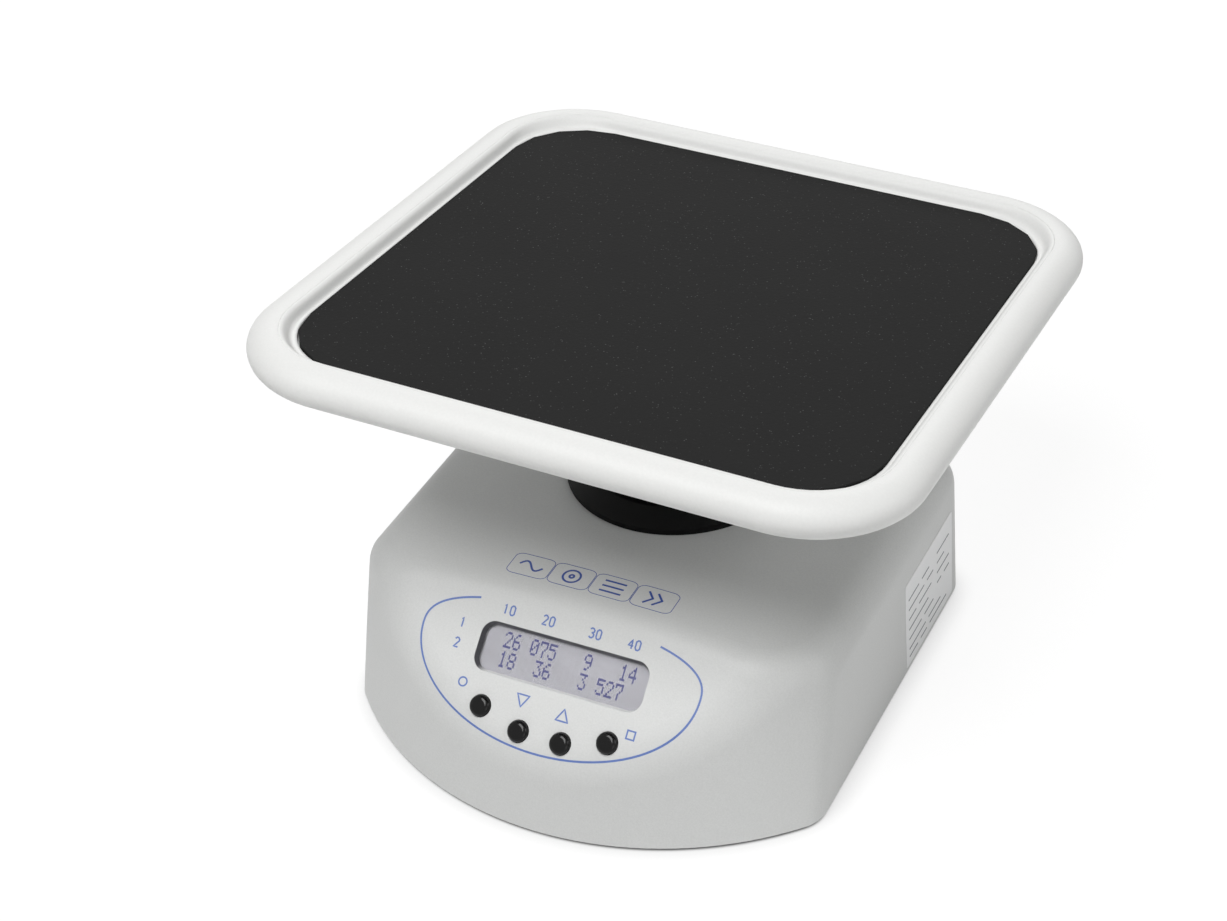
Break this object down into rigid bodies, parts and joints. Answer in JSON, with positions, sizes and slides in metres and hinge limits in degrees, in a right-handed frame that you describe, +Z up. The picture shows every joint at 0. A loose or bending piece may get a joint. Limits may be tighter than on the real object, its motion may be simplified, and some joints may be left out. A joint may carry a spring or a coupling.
{
  "type": "three-dimensional shaker",
  "caption": "Bench shaker with a square padded tray that nods round a fixed lean on a belt-driven crank, over a moulded housing with a sloping control panel.",
  "frame": {"origin": "on the vertical spindle's axis, in the plane of the feet's undersides; the base plate's flat underside lies 1.5 mm above it", "axes": "+Z up, the control panel faces -Y, +X to the right as the control panel is read"},
  "size_m": [0.2367, 0.2507, 0.1571],
  "materials": {
    "shell_plastic": "fine satin moulded plastic, pale grey",
    "plate_steel": "zinc-coated sheet",
    "foot_rubber": "matt black rubber",
    "screw_steel": "zinc-plated steel",
    "aluminium": "turned and milled aluminium",
    "bearing_steel": "ground bearing steel with shields",
    "belt_rubber": "matt black belt rubber",
    "motor_black": "black motor body",
    "boot_rubber": "satin black rubber",
    "clear_pane": "clear acrylic pane",
    "display_face": "grey-lilac display glass",
    "bezel_metal": "black display frame",
    "board_green": "green circuit board",
    "key_plastic": "black key switch",
    "button_black": "glossy black domed cap",
    "black_plastic": "black moulded plastic",
    "capacitor_sleeve": "dark capacitor sleeve",
    "tray_white": "smooth white enamel",
    "mat_foam": "black non-slip foam with fine pale specks",
    "shaft_steel": "ground steel"
  },
  "bodies": {
    "base": {"housing": "shell_plastic", "base_plate": "plate_steel", "feet": "foot_rubber", "base_screws": "screw_steel", "drive_plate": "plate_steel", "drive_posts": "aluminium", "post_top_screws": "screw_steel", "post_foot_screws": "screw_steel", "bearing_sleeve": "aluminium", "sleeve_screws": "screw_steel", "spindle_bearings": "bearing_steel", "drive_belt": "belt_rubber", "motor": "motor_black", "motor_screws": "screw_steel", "boot_collar": "boot_rubber", "display_window": "clear_pane", "display_glass": "display_face", "display_module": "bezel_metal", "module_screws": "screw_steel", "key_board": "board_green", "key_screws": "screw_steel", "key_switches": "key_plastic", "board_standoffs": "aluminium", "main_board": "board_green", "board_screws": "screw_steel", "driver_cooler": "aluminium", "capacitors": "capacitor_sleeve", "power_socket": "black_plastic", "socket_nut": "screw_steel", "switch_frame": "black_plastic"},
    "rotor": {"spindle": "shaft_steel", "spindle_ring": "screw_steel", "driven_pulley": "aluminium", "driven_grub_screw": "screw_steel", "crank_head": "aluminium", "crank_grub_screw": "screw_steel", "stub_washer": "screw_steel", "stub_screw": "screw_steel", "boot": "boot_rubber"},
    "platform": {"platform_hub": "aluminium", "hub_bearings": "bearing_steel", "tray_screws": "screw_steel", "tray": "tray_white", "mat": "mat_foam", "boot_clamp": "screw_steel"},
    "motor_rotor": {"motor_shaft": "shaft_steel", "motor_pulley": "aluminium", "motor_grub_screw": "screw_steel"},
    "button_a": {"button_a": "button_black"},
    "button_b": {"button_b": "button_black"},
    "button_c": {"button_c": "button_black"},
    "button_d": {"button_d": "button_black"},
    "power_rocker": {"power_rocker": "black_plastic"}
  },
  "joints": [
    {"name": "rotor_spin", "type": "hinge", "parent": "base", "child": "rotor", "pos_m": [0, 0, 0.0847], "axis": [0, 0, 1], "continuous": true},
    {"name": "platform_nutation", "type": "hinge", "parent": "rotor", "child": "platform", "pos_m": [0, 0, 0.0847], "axis": [0.0366, 0.1162, 0.9925], "continuous": true},
    {"name": "motor_spin", "type": "hinge", "parent": "base", "child": "motor_rotor", "pos_m": [-0.052, 0, 0.0495], "axis": [0, 0, 1], "continuous": true},
    {"name": "button_a_press", "type": "slide", "parent": "base", "child": "button_a", "axis": [0, 0.6626, -0.749], "range_m": [0, 0.0006], "stiffness_N_per_m": 800, "springref_m": -0.0005},
    {"name": "button_b_press", "type": "slide", "parent": "base", "child": "button_b", "axis": [0, 0.6626, -0.749], "range_m": [0, 0.0006], "stiffness_N_per_m": 800, "springref_m": -0.0005},
    {"name": "button_c_press", "type": "slide", "parent": "base", "child": "button_c", "axis": [0, 0.6626, -0.749], "range_m": [0, 0.0006], "stiffness_N_per_m": 800, "springref_m": -0.0005},
    {"name": "button_d_press", "type": "slide", "parent": "base", "child": "button_d", "axis": [0, 0.6626, -0.749], "range_m": [0, 0.0006], "stiffness_N_per_m": 800, "springref_m": -0.0005},
    {"name": "power_rocker_tip", "type": "hinge", "parent": "base", "child": "power_rocker", "pos_m": [0.018, 0.05211, 0.01998], "axis": [0, -0.0209, 0.9998], "range_deg": [0, 16]}
  ],
  "couplings": [
    {"joint": "platform_nutation", "follows": "rotor_spin", "ratio": -1},
    {"joint": "motor_spin", "follows": "rotor_spin", "ratio": 3}
  ]
}
